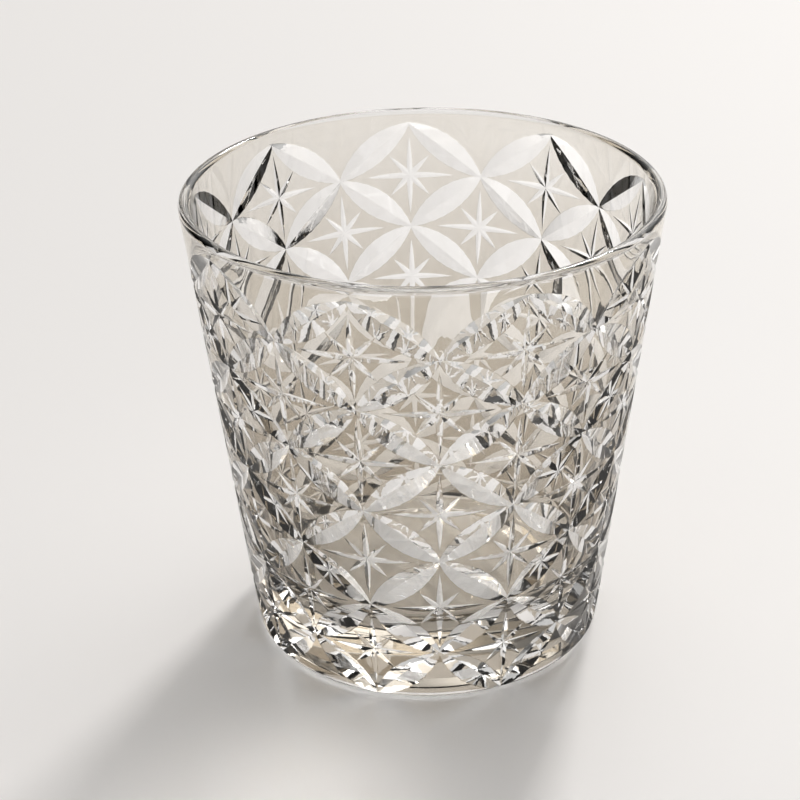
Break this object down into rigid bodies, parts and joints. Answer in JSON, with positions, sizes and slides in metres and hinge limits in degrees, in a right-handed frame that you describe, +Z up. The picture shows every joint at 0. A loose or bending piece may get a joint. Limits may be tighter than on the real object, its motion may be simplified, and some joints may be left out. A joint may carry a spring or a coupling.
{
  "type": "mixing glass",
  "caption": "Tapered straight-sided cut-glass bar tumbler with a heavy clear base, a smoke casing, and an all-over lattice of V-cut petals round eight-ray stars.",
  "frame": {"origin": "centre of the foot plane, on the glass's axis", "axes": "+Z up along the glass's axis of turning, +X through a lattice node of the second row"},
  "size_m": [0.0898, 0.0898, 0.09],
  "materials": {
    "clear_glass": "polished clear crystal, wheel-cut facets",
    "smoke_glass": "thin polished smoke-tinted casing"
  },
  "bodies": {
    "root": {"crystal_body": "clear_glass", "collar_casing": "smoke_glass", "panel_row_1": "smoke_glass", "panel_row_2": "smoke_glass", "panel_row_3": "smoke_glass", "panel_row_4": "smoke_glass", "panel_row_5": "smoke_glass", "panel_row_6": "smoke_glass", "panel_row_7": "smoke_glass", "foot_casing": "smoke_glass"}
  },
  "joints": []
}
